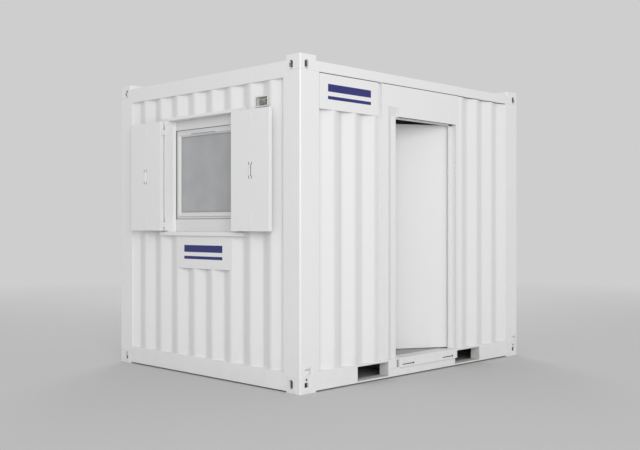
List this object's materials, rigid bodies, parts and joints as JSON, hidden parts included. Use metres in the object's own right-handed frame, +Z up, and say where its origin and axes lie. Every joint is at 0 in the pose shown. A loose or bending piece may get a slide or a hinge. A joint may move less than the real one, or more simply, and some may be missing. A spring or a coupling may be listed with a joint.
{
  "type": "shipping container cabin",
  "caption": "Small steel container cabin with corrugated walls, an inward-opening side door and an end window with a pair of folding steel shutters.",
  "frame": {"origin": "centre of the base, midway between the four bottom twistlock slots and level with the underside of the bottom corner castings", "axes": "+X along the length, away from the window end; +Y from the door wall to the back wall; +Z up"},
  "size_m": [3.068, 2.453, 2.591],
  "materials": {
    "white_paint": "satin",
    "white_castings": "satin",
    "primer_steel": "matte",
    "plywood": "matte",
    "floor_vinyl": "matte",
    "lining_board": "satin",
    "zinc_hinges": "satin",
    "handle_metal": "satin",
    "white_plastic": "satin",
    "window_glass": "gloss",
    "inlet_plastic": "matte",
    "sign_sheet": "satin"
  },
  "bodies": {
    "cabin": {"back_lining": "lining_board", "back_wall": "white_paint", "blind_end_lining": "lining_board", "blind_end_wall": "white_paint", "bottom_corner_castings": "white_castings", "bottom_end_rails": "white_paint", "bottom_side_rails": "white_paint", "ceiling": "lining_board", "corner_posts": "white_paint", "door_frame": "white_paint", "door_hinge_pins": "zinc_hinges", "door_threshold": "white_paint", "earthing_lugs": "white_paint", "electrical_inlet": "inlet_plastic", "end_sign_plate": "sign_sheet", "floor_covering": "floor_vinyl", "floor_cross_members": "primer_steel", "floor_deck": "plywood", "forklift_pockets": "primer_steel", "front_lining_left": "lining_board", "front_lining_over_door": "lining_board", "front_lining_right": "lining_board", "front_sign_plate": "sign_sheet", "front_wall_left": "white_paint", "front_wall_over_door": "white_paint", "front_wall_right": "white_paint", "roof_panel": "white_paint", "shutter_hinge_pins": "zinc_hinges", "top_corner_castings": "white_castings", "top_end_rails": "white_paint", "top_side_rails": "white_paint", "window_end_lining": "lining_board", "window_end_wall": "white_paint", "window_frame": "white_plastic", "window_glass": "window_glass", "window_infill_strips": "white_plastic", "window_sash": "white_plastic", "window_surround": "white_paint"},
    "door": {"door_leaf": "white_paint", "door_hinge_leaves": "zinc_hinges", "door_handles": "handle_metal"},
    "left_shutter": {"shutter_left": "white_paint", "shutter_left_hinges": "white_paint"},
    "right_shutter": {"shutter_right": "white_paint", "shutter_right_hinges": "white_paint"}
  },
  "joints": [
    {"name": "door_hinge", "type": "hinge", "parent": "cabin", "child": "door", "pos_m": [0.477, -1.099, 1.18], "axis": [0, 0, -1], "range_deg": [-30, 65]},
    {"name": "left_shutter_hinge", "type": "hinge", "parent": "cabin", "child": "left_shutter", "pos_m": [-1.5465, 0.4735, 1.72], "axis": [0, 0, 1], "range_deg": [0, 180]},
    {"name": "right_shutter_hinge", "type": "hinge", "parent": "cabin", "child": "right_shutter", "pos_m": [-1.5465, -0.4735, 1.72], "axis": [0, 0, -1], "range_deg": [0, 180]}
  ]
}
